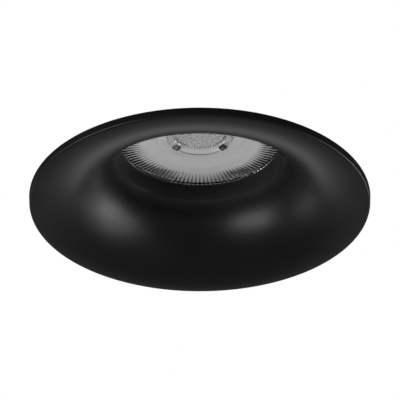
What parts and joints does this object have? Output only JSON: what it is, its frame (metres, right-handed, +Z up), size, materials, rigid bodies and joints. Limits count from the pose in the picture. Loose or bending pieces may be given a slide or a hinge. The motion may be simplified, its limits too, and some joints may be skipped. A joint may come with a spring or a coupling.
{
  "type": "soffit downlight",
  "caption": "Round recessed downlight: a bell-mouthed black bezel with a deep-set reflector lamp, held in a soffit board by two sprung clips.",
  "frame": {"origin": "centre of the flange's ceiling contact face", "axes": "+Z up into the ceiling along the bell's axis, +X through the right clip, the light shines along -Z"},
  "size_m": [0.109, 0.1004, 0.0953],
  "materials": {
    "bezel_black": "die-cast, matt black powder coat",
    "gasket_foam": "closed-cell foam",
    "spring_steel": "drawn spring wire",
    "pressed_steel": "zinc-plated pressing",
    "sleeve_rubber": "matt moulded rubber",
    "lens_clear": "clear moulded acrylic",
    "sink_alloy": "satin die-cast",
    "board_white": "white solder mask",
    "phosphor": "silicone-covered phosphor",
    "board_green": "green solder mask",
    "component_dark": "moulded casing",
    "base_white": "moulded thermoset",
    "pin_nickel": "nickel-plated",
    "ceramic": "glazed ceramic",
    "contact_brass": "stamped",
    "screw_zinc": "zinc-plated"
  },
  "bodies": {
    "fixture": {"bezel": "bezel_black", "ceiling_gasket": "gasket_foam", "lamp_retaining_ring": "spring_steel", "lamp_lens": "lens_clear", "lamp_heatsink": "sink_alloy", "led_board": "board_white", "led_emitter": "phosphor", "driver_board": "board_green", "driver_components": "component_dark", "lamp_base": "base_white", "lamp_pins": "pin_nickel", "clip_pin_right": "screw_zinc", "clip_pin_left": "screw_zinc", "clip_spring_right": "spring_steel", "clip_spring_left": "spring_steel"},
    "right_clip": {"clip_arm_right": "pressed_steel", "clip_sleeve_right": "sleeve_rubber"},
    "left_clip": {"clip_arm_left": "pressed_steel", "clip_sleeve_left": "sleeve_rubber"},
    "lampholder": {"lampholder_body": "ceramic", "lampholder_cover": "ceramic", "lampholder_contacts": "contact_brass", "terminal_screws": "screw_zinc", "cover_screws": "screw_zinc"}
  },
  "joints": [
    {"name": "clip_right_fold", "type": "hinge", "parent": "fixture", "child": "right_clip", "pos_m": [0.033, 0, 0.01242], "axis": [0, -1, 0], "range_deg": [0, 98], "stiffness_Nm_per_rad": 0.1, "springref_deg": -68.75, "deforming": ["clip_spring_right"]},
    {"name": "clip_left_fold", "type": "hinge", "parent": "fixture", "child": "left_clip", "pos_m": [-0.033, 0, 0.01242], "axis": [0, 1, 0], "range_deg": [0, 98], "stiffness_Nm_per_rad": 0.1, "springref_deg": -68.75, "deforming": ["clip_spring_left"]},
    {"name": "lampholder_twist", "type": "hinge", "parent": "fixture", "child": "lampholder", "pos_m": [0, 0, 0.0693], "axis": [0, 0, 1], "range_deg": [0, 35]}
  ]
}
